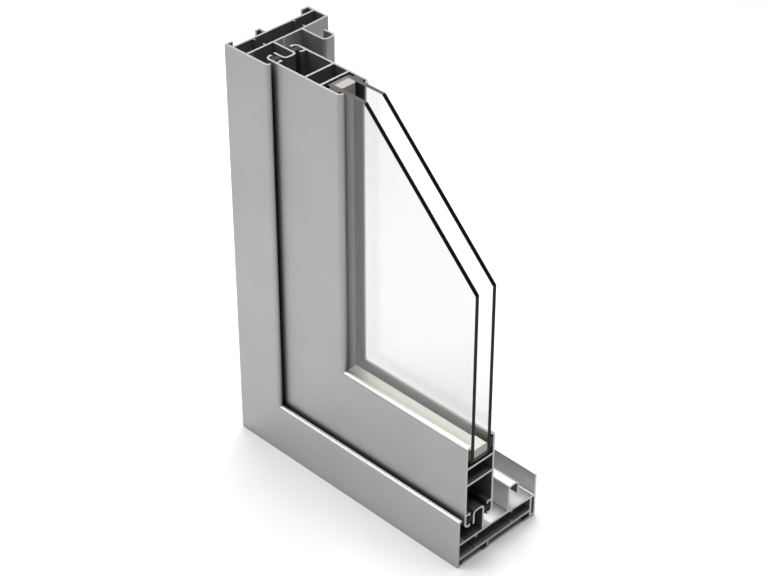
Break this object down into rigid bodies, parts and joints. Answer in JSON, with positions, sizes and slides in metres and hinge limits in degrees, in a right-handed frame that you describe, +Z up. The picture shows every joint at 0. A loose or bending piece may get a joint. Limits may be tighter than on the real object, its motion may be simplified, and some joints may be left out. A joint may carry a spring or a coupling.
{
  "type": "sliding patio door corner section",
  "caption": "Cut-away lower corner of an aluminium sliding patio door: mitred frame with twin runner tracks and a mitred double-glazed sash that slides along the sill.",
  "frame": {"origin": "centre of the overall footprint, in the plane of the sill's lower edge", "axes": "+X along the sill away from the jamb, +Y from the front flange through the frame to the upstand, +Z up the jamb"},
  "size_m": [0.2736, 0.0992, 0.4025],
  "materials": {
    "frame_aluminium": "satin anodised",
    "sash_aluminium": "satin anodised",
    "cleat_aluminium": "mill finish",
    "clear_glass": "polished, clear",
    "spacer_foam": "matt, closed-cell silicone foam",
    "sealant_rubber": "matt",
    "gasket_rubber": "matt",
    "packer_plastic": "matt",
    "brush_pile": "matt",
    "carriage_steel": "zinc plated",
    "wheel_nylon": "matt"
  },
  "bodies": {
    "frame": {"frame_jamb": "frame_aluminium", "frame_sill": "frame_aluminium", "sill_upstand": "frame_aluminium", "frame_corner_cleat": "cleat_aluminium"},
    "sash": {"sash_corner_cleat": "cleat_aluminium", "sash_stile": "sash_aluminium", "sash_rail": "sash_aluminium", "front_pane": "clear_glass", "rear_pane": "clear_glass", "spacer_upright": "spacer_foam", "spacer_bottom": "spacer_foam", "edge_sealant": "sealant_rubber", "gasket_front_upright": "gasket_rubber", "gasket_front_bottom": "gasket_rubber", "gasket_rear_upright": "gasket_rubber", "gasket_rear_bottom": "gasket_rubber", "packer_bottom": "packer_plastic", "packer_side": "packer_plastic", "brush_front_upright": "brush_pile", "brush_front_bottom": "brush_pile", "brush_rear_upright": "brush_pile", "brush_rear_bottom": "brush_pile", "roller_carriage": "carriage_steel", "roller_axle_1": "carriage_steel", "roller_axle_2": "carriage_steel", "roller_wheel_1": "wheel_nylon", "roller_wheel_2": "wheel_nylon"}
  },
  "joints": [
    {"name": "sash_slide", "type": "slide", "parent": "frame", "child": "sash", "axis": [1, 0, 0], "range_m": [0, 0.09]}
  ]
}
